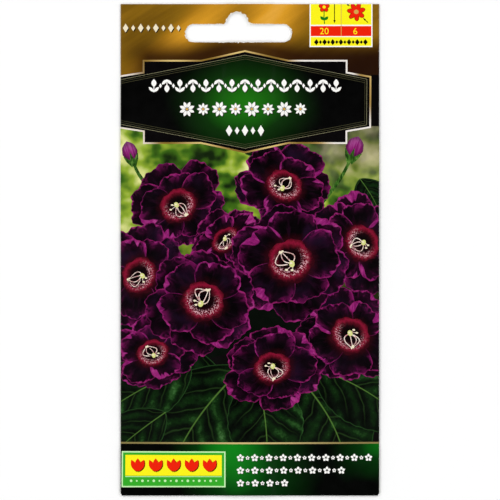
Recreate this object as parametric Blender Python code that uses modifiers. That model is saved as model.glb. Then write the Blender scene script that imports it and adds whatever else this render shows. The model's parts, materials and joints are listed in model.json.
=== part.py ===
"""A paper seed packet lying on its back, with the sachet of seeds inside it.

Metres. The packet lies in the XY plane: +X to the right of the printed front, +Y towards the header with
the hanging slot, +Z out of the printed front. The origin is on the table, under the middle of the packet.
"""

import math

import bmesh
import bpy

PACKET_WIDTH = 0.080
PACKET_HEIGHT = 0.152
PAPER = 0.00022  # thickness of the sheet
GLUE_GAP = 0.00012  # room for glue between two plies
CLEARANCE = 0.00002  # between a glue line or foil and the ply beside it
BULGE = 0.0024  # how far the front rises over the folds, in the middle
SIDE_OPENING = 0.00022  # how much the side folds open where the packet is full
FOLD_STEPS = 6  # straight steps round each fold

HEADER_HEIGHT = 0.0165  # glued flat, measured down from the top edge
FILL_RUN = 0.030  # length over which the packet swells below the header and above the bottom
LAP_OUTER_EDGE = -0.0060  # free edge of the right back panel
LAP_INNER_EDGE = 0.0055  # free edge of the left back panel, inside the right one
LAP_RISE = (-0.0076, -0.0064)  # where the left back panel climbs on to the right one
FRONT_RISE = ((-0.0092, -0.0066), (0.0060, 0.0086))  # the same step, softened, in the front panel

FLAP_DEPTH = 0.0120
FLAP_INSET = 0.0006  # each end of the flap, at its fold
FLAP_TAPER = 0.0050  # each end of the flap, from its fold to its free edge
BOTTOM_FOLD = 0.0006  # how far the bottom fold stands out past the back panels
FLAP_LIFT = 0.0030  # length over which the back panels climb on to the flap

SLOT_CENTRE_X = -0.0035
SLOT_WIDTH = 0.0328
SLOT_HEIGHT = 0.0056
SLOT_BOTTOM = 0.0118  # lower edge of the slot, measured down from the top edge
SLOT_ARCH_X = -0.0004  # middle of the arch, from the middle of the slot
SLOT_ARCH_RADIUS = 0.0034
SLOT_ARCH_RISE = 0.0003  # centre of the arch, above the upper edge of the slot
SLOT_FILLET = 0.0009
SLOT_GLUE_MARGIN = 0.0008  # the glue stops this far short of the slot
GLUE_MARGIN = 0.0008  # and this far short of a ply's edge

SACHET_WIDTH = 0.052
SACHET_HEIGHT = 0.044
SACHET_CENTRE = (0.001, -0.020)
SACHET_SEAL = 0.0050
SACHET_DOME = 0.00165
FOIL = 0.00008

SEED_RADIUS = 0.0007
SEED_COUNT = 5
SEED_RING = (0.0062, 0.0048)  # the seeds lie round this oval, a little unevenly

HALF_WIDTH = PACKET_WIDTH / 2
TOP_Y = PACKET_HEIGHT / 2
HEADER_Y = TOP_Y - HEADER_HEIGHT
FOLD_Y = -TOP_Y + BOTTOM_FOLD
FLAP_EDGE_Y = FOLD_Y + FLAP_DEPTH
PLY_STEP = PAPER + GLUE_GAP
GLUE = GLUE_GAP - 2 * CLEARANCE

BODY_ROWS = 22


def smooth(start, end, value):
    """0 before start, 1 after end, and an even curve between them."""
    share = min(max((value - start) / (end - start), 0.0), 1.0)
    return share * share * (3.0 - 2.0 * share)


def spaced(start, end, steps):
    return [start + (end - start) * i / steps for i in range(steps + 1)]


def fullness(y):
    """How far the packet is swollen at this height: 0 at the header and the bottom, 1 between them."""
    below_header = 1.0 - smooth(HEADER_Y - FILL_RUN, HEADER_Y, y)
    return below_header * smooth(FOLD_Y, FOLD_Y + FILL_RUN, y)


def back_level(y):
    """Underside of the back panels: on the table, and one ply up where they lie on the flap."""
    return PLY_STEP * (1.0 - smooth(FLAP_EDGE_Y + 0.0006, FLAP_EDGE_Y + 0.0006 + FLAP_LIFT, y))


def fold_radius(y):
    return (2 * PAPER + GLUE_GAP) / 2 + SIDE_OPENING * fullness(y)


def front_level(x, y):
    """Printed face of the front panel."""
    radius = fold_radius(y)
    (left_low, left_high), (right_high, right_low) = FRONT_RISE
    over_lap = smooth(left_low, left_high, x) - smooth(right_high, right_low, x)
    across = max(0.0, 1.0 - (x / (HALF_WIDTH - radius)) ** 2)
    swell = BULGE * fullness(y) * across
    return back_level(y) + 2 * radius + PLY_STEP * over_lap * (1.0 - fullness(y)) + swell


def section(y):
    """Outer face of the sheet at one height, as (x, z) points from one lapped edge round to the other."""
    base = back_level(y)
    radius = fold_radius(y)
    edge = HALF_WIDTH - radius
    lapped, flat = left_back_columns(edge)
    points = [(x, base + PLY_STEP) for x in lapped]
    points += [(x, base) for x in flat]
    for step in range(1, FOLD_STEPS):
        angle = math.pi * step / FOLD_STEPS
        points.append((-edge - radius * math.sin(angle), base + radius - radius * math.cos(angle)))
    points += [(x, front_level(x, y)) for x in front_columns(edge)]
    for step in range(1, FOLD_STEPS):
        angle = math.pi * step / FOLD_STEPS
        points.append((edge + radius * math.sin(angle), base + radius + radius * math.cos(angle)))
    points += [(x, base) for x in spaced(edge, LAP_OUTER_EDGE, 4)]
    return points


def left_back_columns(edge):
    """Places across the left back panel: those on the lap, then those that lie flat."""
    return spaced(LAP_INNER_EDGE, LAP_RISE[1], 2), spaced(LAP_RISE[0], -edge, 3)


def front_columns(edge):
    """Places across the front: even, with the steps over the lap and the ends of the flap among them."""
    flap_end = HALF_WIDTH - FLAP_INSET
    (left_low, left_high), (right_high, right_low) = FRONT_RISE
    left = spaced(-flap_end, left_low, 7)
    middle = spaced(left_high, right_high, 4)
    right = spaced(right_low, flap_end, 7)
    steps = [(left_low + left_high) / 2, (right_high + right_low) / 2]
    return [-edge, *left, steps[0], *middle, steps[1], *right, edge]


def body_rows():
    """Places down the packet, closer together where the back climbs on to the flap."""
    swell_end = FLAP_EDGE_Y + 0.0006 + FLAP_LIFT
    rows = [TOP_Y, HEADER_Y + 0.004, HEADER_Y]
    rows += spaced(HEADER_Y, swell_end, BODY_ROWS)[1:]
    rows += spaced(swell_end, FLAP_EDGE_Y + 0.0006, 4)[1:]
    rows += spaced(FLAP_EDGE_Y + 0.0006, FOLD_Y, 3)[1:]
    return rows


def mesh_object(name, mesh, collection, material):
    obj = bpy.data.objects.new(name, mesh)
    collection.objects.link(obj)
    if material is not None:
        mesh.materials.append(material)
    return obj


def finish_material(name, colour, roughness, metallic=0.0):
    material = bpy.data.materials.new(name)
    material.use_nodes = True
    shader = material.node_tree.nodes["Principled BSDF"]
    shader.inputs["Base Color"].default_value = (*colour, 1.0)
    shader.inputs["Roughness"].default_value = roughness
    shader.inputs["Metallic"].default_value = metallic
    material.diffuse_color = (*colour, 1.0)
    return material


def surface_mesh(name, rows):
    """A mesh over rows of equally many points."""
    build = bmesh.new()
    grid = [[build.verts.new(point) for point in row] for row in rows]
    skin(build, grid)
    return build, grid, name


def skin(build, grid):
    for upper, lower in zip(grid, grid[1:]):
        for i in range(len(upper) - 1):
            build.faces.new((upper[i], lower[i], lower[i + 1], upper[i + 1]))


def finished_mesh(build, name):
    mesh = bpy.data.meshes.new(name)
    build.to_mesh(mesh)
    build.free()
    mesh.shade_smooth()
    return mesh


def thicken(obj, thickness, offset):
    shell = obj.modifiers.new("thickness", "SOLIDIFY")
    shell.thickness = thickness
    shell.offset = offset
    shell.use_even_offset = True
    return shell


def cut(obj, cutter):
    boolean = obj.modifiers.new("slot", "BOOLEAN")
    boolean.operation = "DIFFERENCE"
    boolean.object = cutter


def arc(centre, radius, start, end, steps):
    """Points of an arc, the angles in degrees."""
    angles = [math.radians(a) for a in spaced(start, end, steps)]
    return [(centre[0] + radius * math.cos(a), centre[1] + radius * math.sin(a)) for a in angles]


def slot_outline(margin):
    """The hanging slot: a rounded bar with an arch on its upper side, widened all round by margin."""
    end_radius = SLOT_HEIGHT / 2 + margin
    lower = TOP_Y - SLOT_BOTTOM - margin
    upper = lower + 2 * end_radius
    middle = (lower + upper) / 2
    reach = SLOT_WIDTH / 2 - SLOT_HEIGHT / 2
    arch_radius = SLOT_ARCH_RADIUS + margin
    fillet = max(SLOT_FILLET - margin, 0.0001)
    arch_y = TOP_Y - SLOT_BOTTOM + SLOT_HEIGHT + SLOT_ARCH_RISE
    arch_x = SLOT_CENTRE_X + SLOT_ARCH_X
    drop = upper + fillet - arch_y
    side = math.sqrt((arch_radius + fillet) ** 2 - drop**2)
    lean = math.degrees(math.atan2(drop, side))
    points = arc((SLOT_CENTRE_X + reach, middle), end_radius, -90, 90, 8)
    points += arc((arch_x + side, upper + fillet), fillet, 270, 180 + lean, 3)
    points += arc((arch_x, arch_y), arch_radius, lean, 180 - lean, 12)
    points += arc((arch_x - side, upper + fillet), fillet, -lean, -90, 3)
    points += arc((SLOT_CENTRE_X - reach, middle), end_radius, 90, 270, 8)
    return points


def slot_cutter(name, margin, collection):
    """The slot's outline as a filled curve, extruded through every ply and made a mesh."""
    outline = bpy.data.curves.new(name, "CURVE")
    outline.dimensions = "2D"
    outline.fill_mode = "BOTH"
    outline.extrude = 0.004
    points = slot_outline(margin)
    spline = outline.splines.new("POLY")
    spline.points.add(len(points) - 1)
    for target, (x, y) in zip(spline.points, points):
        target.co = (x, y, 0.0, 1.0)
    spline.use_cyclic_u = True
    curve = bpy.data.objects.new(name + "_outline", outline)
    collection.objects.link(curve)
    graph = bpy.context.evaluated_depsgraph_get()
    graph.update()
    mesh = bpy.data.meshes.new_from_object(curve.evaluated_get(graph))
    weld = bmesh.new()
    weld.from_mesh(mesh)
    bmesh.ops.remove_doubles(weld, verts=weld.verts, dist=1e-7)
    bmesh.ops.recalc_face_normals(weld, faces=weld.faces)
    weld.to_mesh(mesh)
    weld.free()
    cutter = bpy.data.objects.new(name, mesh)
    cutter.matrix_world = curve.matrix_world
    collection.objects.link(cutter)
    bpy.data.objects.remove(curve)
    cutter.hide_render = True
    cutter.display_type = "WIRE"
    return cutter


def make_paper(collection, cutter):
    """The folded sheet: front, side folds, lapped back panels and the bottom flap, from one surface."""
    rows = [[(x, y, z) for x, z in section(y)] for y in body_rows()]
    build, grid, name = surface_mesh("paper_packet", rows)
    flap_end = HALF_WIDTH - FLAP_INSET
    lapped, flat = left_back_columns(HALF_WIDTH)
    before_front = len(lapped) + len(flat) + FOLD_STEPS - 1
    front_count = len(front_columns(HALF_WIDTH))
    on_front = grid[-1][before_front + 1 : before_front + front_count - 1]
    fold = [on_front]
    for step in range(1, FOLD_STEPS + 1):
        angle = math.pi * step / FOLD_STEPS
        row = []
        for start in on_front:
            half = start.co.z / 2
            y = FOLD_Y - BOTTOM_FOLD * math.sin(angle)
            row.append(build.verts.new((start.co.x, y, half + half * math.cos(angle))))
        fold.append(row)
    for share in (0.5, 1.0):
        narrowing = 1.0 - share * FLAP_TAPER / flap_end
        y = FOLD_Y + share * FLAP_DEPTH
        fold.append([build.verts.new((v.co.x * narrowing, y, 0.0)) for v in on_front])
    skin(build, fold)
    mesh = finished_mesh(build, name)
    paper = mesh_object(name, mesh, collection, finish_material("printed_paper", (0.11, 0.06, 0.05), 0.35))
    thicken(paper, PAPER, -1.0)
    cut(paper, cutter)
    return paper


def make_glue(name, rows, collection, cutter=None):
    """A thin line of dried glue over rows of points, which are its underside."""
    build, _, _ = surface_mesh(name, rows)
    mesh = finished_mesh(build, name)
    glue = mesh_object(name, mesh, collection, finish_material(name, (0.80, 0.74, 0.60), 0.5))
    thicken(glue, GLUE, 1.0)
    if cutter is not None:
        cut(glue, cutter)
    return glue


def make_glues(collection, cutter):
    seam_x = (LAP_OUTER_EDGE + GLUE_MARGIN, LAP_INNER_EDGE - GLUE_MARGIN)
    seam_top = TOP_Y - SLOT_BOTTOM - SLOT_GLUE_MARGIN
    seam_rows = []
    for y in [seam_top, *[y for y in body_rows()[:-1] if y < seam_top]]:
        level = back_level(y) + PAPER + CLEARANCE
        seam_rows.append([(x, y, level) for x in spaced(*seam_x, 2)])
    make_glue("seam_glue", seam_rows, collection)

    header_rows = []
    for y in (TOP_Y - GLUE_MARGIN, HEADER_Y + GLUE_MARGIN):
        columns = front_columns(HALF_WIDTH - fold_radius(y))[1:-1]
        header_rows.append([(x, y, front_level(x, y) - PAPER - CLEARANCE - GLUE) for x in columns])
    make_glue("header_glue", header_rows, collection, cutter)

    flap_x = HALF_WIDTH - FLAP_INSET - FLAP_TAPER - GLUE_MARGIN
    flap_columns = spaced(-flap_x, flap_x, 2)
    flap_places = (FLAP_EDGE_Y - GLUE_MARGIN, FOLD_Y + GLUE_MARGIN)
    flap_rows = [[(x, y, PAPER + CLEARANCE) for x in flap_columns] for y in flap_places]
    make_glue("flap_glue", flap_rows, collection)


def sachet_level():
    """Underside of the sachet, which lies on the lap of the back panels."""
    return PLY_STEP + PAPER + CLEARANCE


def sachet_rows(height_at):
    left = SACHET_CENTRE[0] - SACHET_WIDTH / 2
    top = SACHET_CENTRE[1] + SACHET_HEIGHT / 2
    xs = sachet_places(left, SACHET_WIDTH)
    ys = [top - place for place in sachet_places(0.0, SACHET_HEIGHT)]
    return [[(x, y, height_at(x, y)) for x in xs] for y in ys]


def sachet_places(start, size):
    """The two edges of the sealed band at each end, and even steps over the dome."""
    return [start, *spaced(start + SACHET_SEAL, start + size - SACHET_SEAL, 10), start + size]


def dome(x, y):
    """Rise of the front foil over the sealed band."""
    reach_x = SACHET_WIDTH / 2 - SACHET_SEAL
    reach_y = SACHET_HEIGHT / 2 - SACHET_SEAL
    along = max(0.0, 1.0 - ((x - SACHET_CENTRE[0]) / reach_x) ** 2)
    up = max(0.0, 1.0 - ((y - SACHET_CENTRE[1]) / reach_y) ** 2)
    return SACHET_DOME * math.sqrt(along * up)


def make_sachet(collection):
    level = sachet_level()
    foil = finish_material("sachet_foil", (0.72, 0.73, 0.75), 0.28, 1.0)
    build, _, name = surface_mesh("sachet_back_foil", sachet_rows(lambda x, y: level))
    back = mesh_object(name, finished_mesh(build, name), collection, foil)
    thicken(back, FOIL, 1.0)
    lift = level + FOIL + CLEARANCE
    build, _, name = surface_mesh("sachet_front_foil", sachet_rows(lambda x, y: lift + dome(x, y)))
    front = mesh_object(name, finished_mesh(build, name), collection, foil)
    thicken(front, FOIL, 1.0)


def make_seeds(collection):
    """Pelleted seeds, loose on the back foil in the middle of the sachet."""
    pellet = finish_material("seed_coating", (0.62, 0.30, 0.12), 0.8)
    build = bmesh.new()
    bmesh.ops.create_uvsphere(build, u_segments=10, v_segments=7, radius=SEED_RADIUS)
    mesh = finished_mesh(build, "seed")
    mesh.materials.append(pellet)
    z = sachet_level() + FOIL + CLEARANCE + SEED_RADIUS
    for i in range(SEED_COUNT):
        angle = 2 * math.pi * (i + 0.35 * math.sin(2.3 * i)) / SEED_COUNT
        reach = 1.0 - 0.45 * (i % 2)
        x = SACHET_CENTRE[0] + SEED_RING[0] * reach * math.cos(angle)
        y = SACHET_CENTRE[1] + SEED_RING[1] * reach * math.sin(angle)
        seed = mesh_object(f"seed_{i + 1}", mesh, collection, None)
        seed.location = (x, y, z)


def main():
    for obj in list(bpy.data.objects):
        bpy.data.objects.remove(obj)
    parts = bpy.data.collections.new("seed_packet")
    cutters = bpy.data.collections.new("cutters")
    for collection in (parts, cutters):
        bpy.context.scene.collection.children.link(collection)
    slot = slot_cutter("slot_cutter", 0.0, cutters)
    glue_slot = slot_cutter("glue_slot_cutter", SLOT_GLUE_MARGIN, cutters)
    make_paper(parts, slot)
    make_glues(parts, glue_slot)
    make_sachet(parts)
    make_seeds(parts)


main()
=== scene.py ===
# A printed paper seed packet lying on its back, printed front up.
# All the print is drawn on the flat sheet in millimetres, cut into triangles and folded as the packet is.
import json
import math
import random

import bmesh
import bpy
import numpy as np
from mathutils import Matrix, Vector
from mathutils.geometry import delaunay_2d_cdt
from mathutils.kdtree import KDTree
from mathutils.noise import turbulence

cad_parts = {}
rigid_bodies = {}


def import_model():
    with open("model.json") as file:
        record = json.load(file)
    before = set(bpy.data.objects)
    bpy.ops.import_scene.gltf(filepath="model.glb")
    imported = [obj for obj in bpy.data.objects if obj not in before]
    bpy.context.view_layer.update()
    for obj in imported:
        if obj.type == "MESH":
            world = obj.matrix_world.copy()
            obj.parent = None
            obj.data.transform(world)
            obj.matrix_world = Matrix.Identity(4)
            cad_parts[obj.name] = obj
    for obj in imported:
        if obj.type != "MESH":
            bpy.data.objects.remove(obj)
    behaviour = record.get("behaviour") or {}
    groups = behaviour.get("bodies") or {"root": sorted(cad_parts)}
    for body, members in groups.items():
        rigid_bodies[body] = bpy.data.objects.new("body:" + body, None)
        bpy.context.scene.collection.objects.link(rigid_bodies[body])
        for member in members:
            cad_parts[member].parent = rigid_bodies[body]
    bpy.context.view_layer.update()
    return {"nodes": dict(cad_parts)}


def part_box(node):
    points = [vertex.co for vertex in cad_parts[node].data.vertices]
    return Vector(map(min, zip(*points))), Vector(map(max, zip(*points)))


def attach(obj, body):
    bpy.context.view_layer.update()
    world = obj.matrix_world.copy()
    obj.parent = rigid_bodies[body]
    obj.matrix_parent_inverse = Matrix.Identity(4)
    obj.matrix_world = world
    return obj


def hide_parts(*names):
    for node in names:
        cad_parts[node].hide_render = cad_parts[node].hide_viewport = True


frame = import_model()
print("frame loaded:", ", ".join(sorted(frame["nodes"])))

mm = 0.001
halfWidth, topY = (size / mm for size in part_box("paper_packet")[1][:2])

packet = {
    "paper": 0.22, "glueGap": 0.12,         # thickness of the sheet, and of a glue line
    "bulge": 2.4, "sideOpening": 0.22,      # swell of the front, and of the side folds
    "header": 16.5, "fillRun": 30.0,        # glued header, and the length over which the packet swells
    "lapOuter": -6.0, "lapInner": 5.5,      # free edges of the two back panels
    "leftRise": (-7.6, -6.4), "frontRise": (-9.2, -6.6, 6.0, 8.6),
    "flapDepth": 12.0, "flapInset": 0.35, "flapTaper": 5.0, "bottomFold": 0.6,
    "flapGap": 0.6, "flapLift": 3.0,        # past the flap the back comes down again over this length
    "buckle": 0.07,                         # height of the faint waves in the front
}
flat = {
    "frontEdge": 39.6, "sideFold": 1.2, "flapFold": 1.8,   # on the unfolded sheet
    "bleed": 40.6,                          # where the front's print ends, under the side folds
    "lattice": 2.4, "foldColumns": 8, "longest": 2.6,      # how finely the sheet is cut up
}
bleed = flat["bleed"]
headerY = topY - packet["header"]
foldY = -topY + packet["bottomFold"]
flapEdgeY = foldY + packet["flapDepth"]
plyStep = packet["paper"] + packet["glueGap"]
backStart = flat["frontEdge"] + flat["sideFold"]
rightEnd = backStart + flat["frontEdge"] - packet["lapOuter"]
leftEnd = backStart + flat["frontEdge"] + packet["lapInner"]
flapStartY = foldY - flat["flapFold"]
flapEndY = flapStartY - packet["flapDepth"]


def smooth(start, end, value):
    share = np.clip((value - start) / (end - start), 0.0, 1.0)
    return share * share * (3.0 - 2.0 * share)


def fullness(y):
    below = 1.0 - smooth(headerY - packet["fillRun"], headerY, y)
    return below * smooth(foldY, foldY + packet["fillRun"], y)


def backLevel(y):
    start = flapEdgeY + packet["flapGap"]
    return plyStep * (1.0 - smooth(start, start + packet["flapLift"], y))


def foldRadius(y):
    return (2 * packet["paper"] + packet["glueGap"]) / 2 + packet["sideOpening"] * fullness(y)


def buckles(x, y):
    # faint waves: down the sides, where the flat header turns into the full part, and over the bottom
    near = np.exp(-((y - headerY + 5.0) / 7.0) ** 2) * np.cos(x * 0.42 + 0.9 * np.sin(x * 0.11))
    low = np.exp(-((y - foldY - 13.0) / 6.0) ** 2) * np.cos(x * 0.36 + 1.3)
    sides = np.sin(y * 0.21 + 1.4 * np.sin(y * 0.05)) * (x / halfWidth) ** 4
    return packet["buckle"] * (near + 0.8 * low + 0.9 * sides * fullness(y))


def frontLevel(x, y):
    radius = foldRadius(y)
    a, b, c, d = packet["frontRise"]
    overLap = smooth(a, b, x) - smooth(c, d, x)
    across = np.clip(1.0 - (x / (halfWidth - radius)) ** 2, 0.0, 1.0)
    swell = packet["bulge"] * fullness(y) * across + buckles(x, y) * np.sqrt(across)
    return backLevel(y) + 2 * radius + plyStep * overLap * (1.0 - fullness(y)) + swell


def folded(s, t):
    # the outer face of the sheet: flat places (s, t) to places on the packet, all in mm
    s, t = np.asarray(s, float), np.asarray(t, float)
    y = np.maximum(t, foldY)
    radius = foldRadius(y)
    edge = halfWidth - radius
    side, reach = np.sign(s), np.abs(s)
    x = s * edge / flat["frontEdge"]
    base, z = backLevel(y), frontLevel(x, y)
    turn = np.clip((reach - flat["frontEdge"]) / flat["sideFold"], 0.0, 1.0) * math.pi
    onFold = (reach > flat["frontEdge"]) & (reach <= backStart)
    x = np.where(onFold, side * (edge + radius * np.sin(turn)), x)
    z = np.where(onFold, base + radius + radius * np.cos(turn), z)
    onBack = reach > backStart
    backX = side * (edge - (reach - backStart) * edge / flat["frontEdge"])
    x = np.where(onBack, backX, x)
    rise = plyStep * smooth(*packet["leftRise"], backX)
    z = np.where(onBack, base + np.where(side < 0, rise, 0.0), z)
    bend = np.clip((foldY - t) / flat["flapFold"], 0.0, 1.0) * math.pi
    underY = foldY - packet["bottomFold"] * np.sin(bend) + np.clip(flapStartY - t, 0.0, None)
    y = np.where(t < foldY, underY, y)
    z = np.where(t < foldY, z / 2 + z / 2 * np.cos(bend), z)
    return np.stack([x, y, z], axis=-1)


def outward(s, t):
    step = 0.02
    across = folded(s + step, t) - folded(s - step, t)
    along = folded(s, t + step) - folded(s, t - step)
    normal = np.cross(across, along)
    return normal / np.linalg.norm(normal, axis=-1, keepdims=True)


def colour(code):
    # a hex colour as the linear one that a shader wants
    parts = [int(code[i:i + 2], 16) / 255 for i in (1, 3, 5)]
    return tuple(p / 12.92 if p <= 0.04045 else ((p + 0.055) / 1.055) ** 2.4 for p in parts) + (1.0,)


# The mixing bench: node maths as Python expressions

def operator(operation, swapped=False):
    # one maths node between a signal and a number or another signal
    def method(self, other):
        return self.bench.maths(operation, *((other, self) if swapped else (self, other)))
    return method


class Signal:
    def __init__(self, bench, socket):
        self.bench, self.socket = bench, socket

    __add__, __radd__ = operator("ADD"), operator("ADD", True)
    __sub__, __rsub__ = operator("SUBTRACT"), operator("SUBTRACT", True)
    __mul__, __rmul__ = operator("MULTIPLY"), operator("MULTIPLY", True)
    __truediv__, __rtruediv__ = operator("DIVIDE"), operator("DIVIDE", True)
    __gt__ = operator("GREATER_THAN")

    def __abs__(self):
        return self.bench.maths("ABSOLUTE", self)


class Bench:
    def __init__(self, name, tree=None):
        # a new material, unless it is given a tree of another kind
        if tree is None:
            self.material = bpy.data.materials.new(name)
            self.material.use_nodes = True
            tree = self.material.node_tree
            tree.nodes.clear()
        self.tree = tree

    def node(self, kind, settings=None, inputs=None, output=0):
        made = self.tree.nodes.new(kind)
        for key, value in (settings or {}).items():
            if key == "stops":
                ramp = made.color_ramp
                while len(ramp.elements) < len(value):
                    ramp.elements.new(0.5)
                for element, (place, code) in zip(ramp.elements, value):
                    element.position, element.color = place, colour(code)
            else:
                setattr(made, key, value)
        for key, value in (inputs or {}).items():
            if isinstance(value, Signal):
                self.tree.links.new(value.socket, made.inputs[key])
            else:
                made.inputs[key].default_value = colour(value) if isinstance(value, str) else value
        return Signal(self, made.outputs[output]) if len(made.outputs) else None

    def maths(self, operation, *values):
        return self.node("ShaderNodeMath", {"operation": operation}, dict(enumerate(values)))

    def mix(self, share, first, second, how="MIX"):
        settings = {"data_type": "RGBA", "blend_type": how, "clamp_factor": True}
        return self.node("ShaderNodeMix", settings, {0: share, 6: first, 7: second}, 2)

    def step(self, low, high, value, start=0.0, end=1.0):
        settings = {"interpolation_type": "SMOOTHSTEP"}
        return self.node("ShaderNodeMapRange", settings, {0: value, 1: low, 2: high, 3: start, 4: end})

    def ramp(self, value, *stops):
        return self.node("ShaderNodeValToRGB", {"stops": stops}, {0: value})

    def combine(self, x, y, z=0.0):
        return self.node("ShaderNodeCombineXYZ", None, {0: x, 1: y, 2: z})

    def outputs(self, signal):
        return [Signal(self, socket) for socket in signal.socket.node.outputs]

    def split(self, vector):
        return self.outputs(self.node("ShaderNodeSeparateXYZ", None, {0: vector}))

    def noise(self, place, scale, detail=2.0, rough=0.5, warp=0.0):
        vector = self.combine(*place) if isinstance(place, tuple) else place
        inputs = {"Vector": vector, "Scale": scale, "Detail": detail, "Roughness": rough, "Distortion": warp}
        return self.node("ShaderNodeTexNoise", None, inputs)

    def here(self):
        # places on the packet in mm
        place = self.node("ShaderNodeTexCoord", None, None, 3)
        return self.node("ShaderNodeVectorMath", {"operation": "SCALE"}, {0: place, "Scale": 1 / mm})

    def motif(self):
        # a shape's own two measures, mm in from its edge, and a number that sets it apart
        place, tone = (self.split(self.node("ShaderNodeUVMap", {"uv_map": name})) for name in sewnMaps)
        return place[0], place[1], tone[0], tone[1]

    def finish(self, shade, roughness, bump=None, height=0.02, **fixed):
        inputs = {"Base Color": shade, "Roughness": roughness}
        if bump is not None:
            bumped = {"Height": bump, "Strength": 0.35, "Distance": height * mm}
            inputs["Normal"] = self.node("ShaderNodeBump", None, bumped)
        inputs.update({key.replace("_", " "): value for key, value in fixed.items()})
        shader = self.node("ShaderNodeBsdfPrincipled", None, inputs)
        self.node("ShaderNodeOutputMaterial", None, {0: shader})
        return self.material


# Inks: a function mixes the shade of each, and all but the raw paper share one finish

paperCoat = {
    "roughness": 0.34, "gloss": 0.045,      # coated paper
    "specks": 0.66,                         # noise level past which ink has rubbed off a fold
    "grain": 0.05,                          # unevenness of a printed colour
}
sewnMaps = ("motifPlace", "motifTone")
inks = {}


def printed(bench, shade):
    # paper grain, a little unevenness, wear along the side folds, and a painted highlight along the left fold
    place = bench.here()
    x, y, z = bench.split(place)
    uneven = bench.step(0.3, 0.7, bench.noise(place, 2.6, 3.0, 0.6), 1.0 - paperCoat["grain"], 1.0)
    shade = bench.mix(1.0, shade, bench.combine(uneven, uneven, uneven), "MULTIPLY")
    rubbed = bench.noise((x * 0.35, y * 1.6, z), 1.1, 4.0, 0.7)
    worn = (rubbed > paperCoat["specks"]) * bench.step(halfWidth - 0.42, halfWidth - 0.12, x)
    shade = bench.mix(worn * 0.8, shade, "#E9E4DA")
    # painted highlight: a pale line along the left fold, where the fold catches the light
    shade = bench.mix(bench.step(0.22 - halfWidth, 0.05 - halfWidth, x) * 0.22, shade, "#D8D4CC")
    middle = paperCoat["roughness"]
    rough = bench.step(0.2, 0.8, bench.noise(place, 0.35, 2.0), middle - 0.05, middle + 0.06)
    gloss = {"Specular_IOR_Level": paperCoat["gloss"]}
    return bench.finish(shade, rough, bench.noise(place, 5.0, 4.0, 0.65), 0.012, **gloss)


def ink(key, name):
    def keep(mixShade):
        bench = Bench(name)
        x, y, _ = bench.split(bench.here())
        inks[key] = printed(bench, mixShade(bench, x, y))
        return mixShade
    return keep


@ink("garden", "blurred_garden_ink")
def gardenShade(bench, x, y):
    # the garden behind the blooms, far out of focus
    broad = bench.noise((x, y, 0.0), 0.055, 1.0, 0.5)
    blots = bench.noise((x, y, 9.0), 0.15, 2.0, 0.5)
    dabs = bench.noise((x * 0.7, y, 6.0), 0.30, 1.0, 0.5)
    light = broad * 0.45 + blots * 0.42 + dabs * 0.22
    shade = bench.ramp(light, (0.36, "#070D06"), (0.44, "#16280C"), (0.51, "#3F6A18"), (0.58, "#93AE34"),
                       (0.66, "#DDE08E"), (0.74, "#F2EFC4"))
    speckle = bench.noise((x, y, 4.0), 0.16, 2.0)
    stone = bench.ramp(speckle, (0.3, "#2B2A1C"), (0.5, "#6E6650"), (0.7, "#A79C7E"))
    earth = bench.step(6.0, 30.0, x) * bench.step(14.0, 30.0, y)
    shade = bench.mix(earth * 0.75, shade, stone)
    return bench.mix(bench.step(10.0, -18.0, y), shade, "#060B06")


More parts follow.
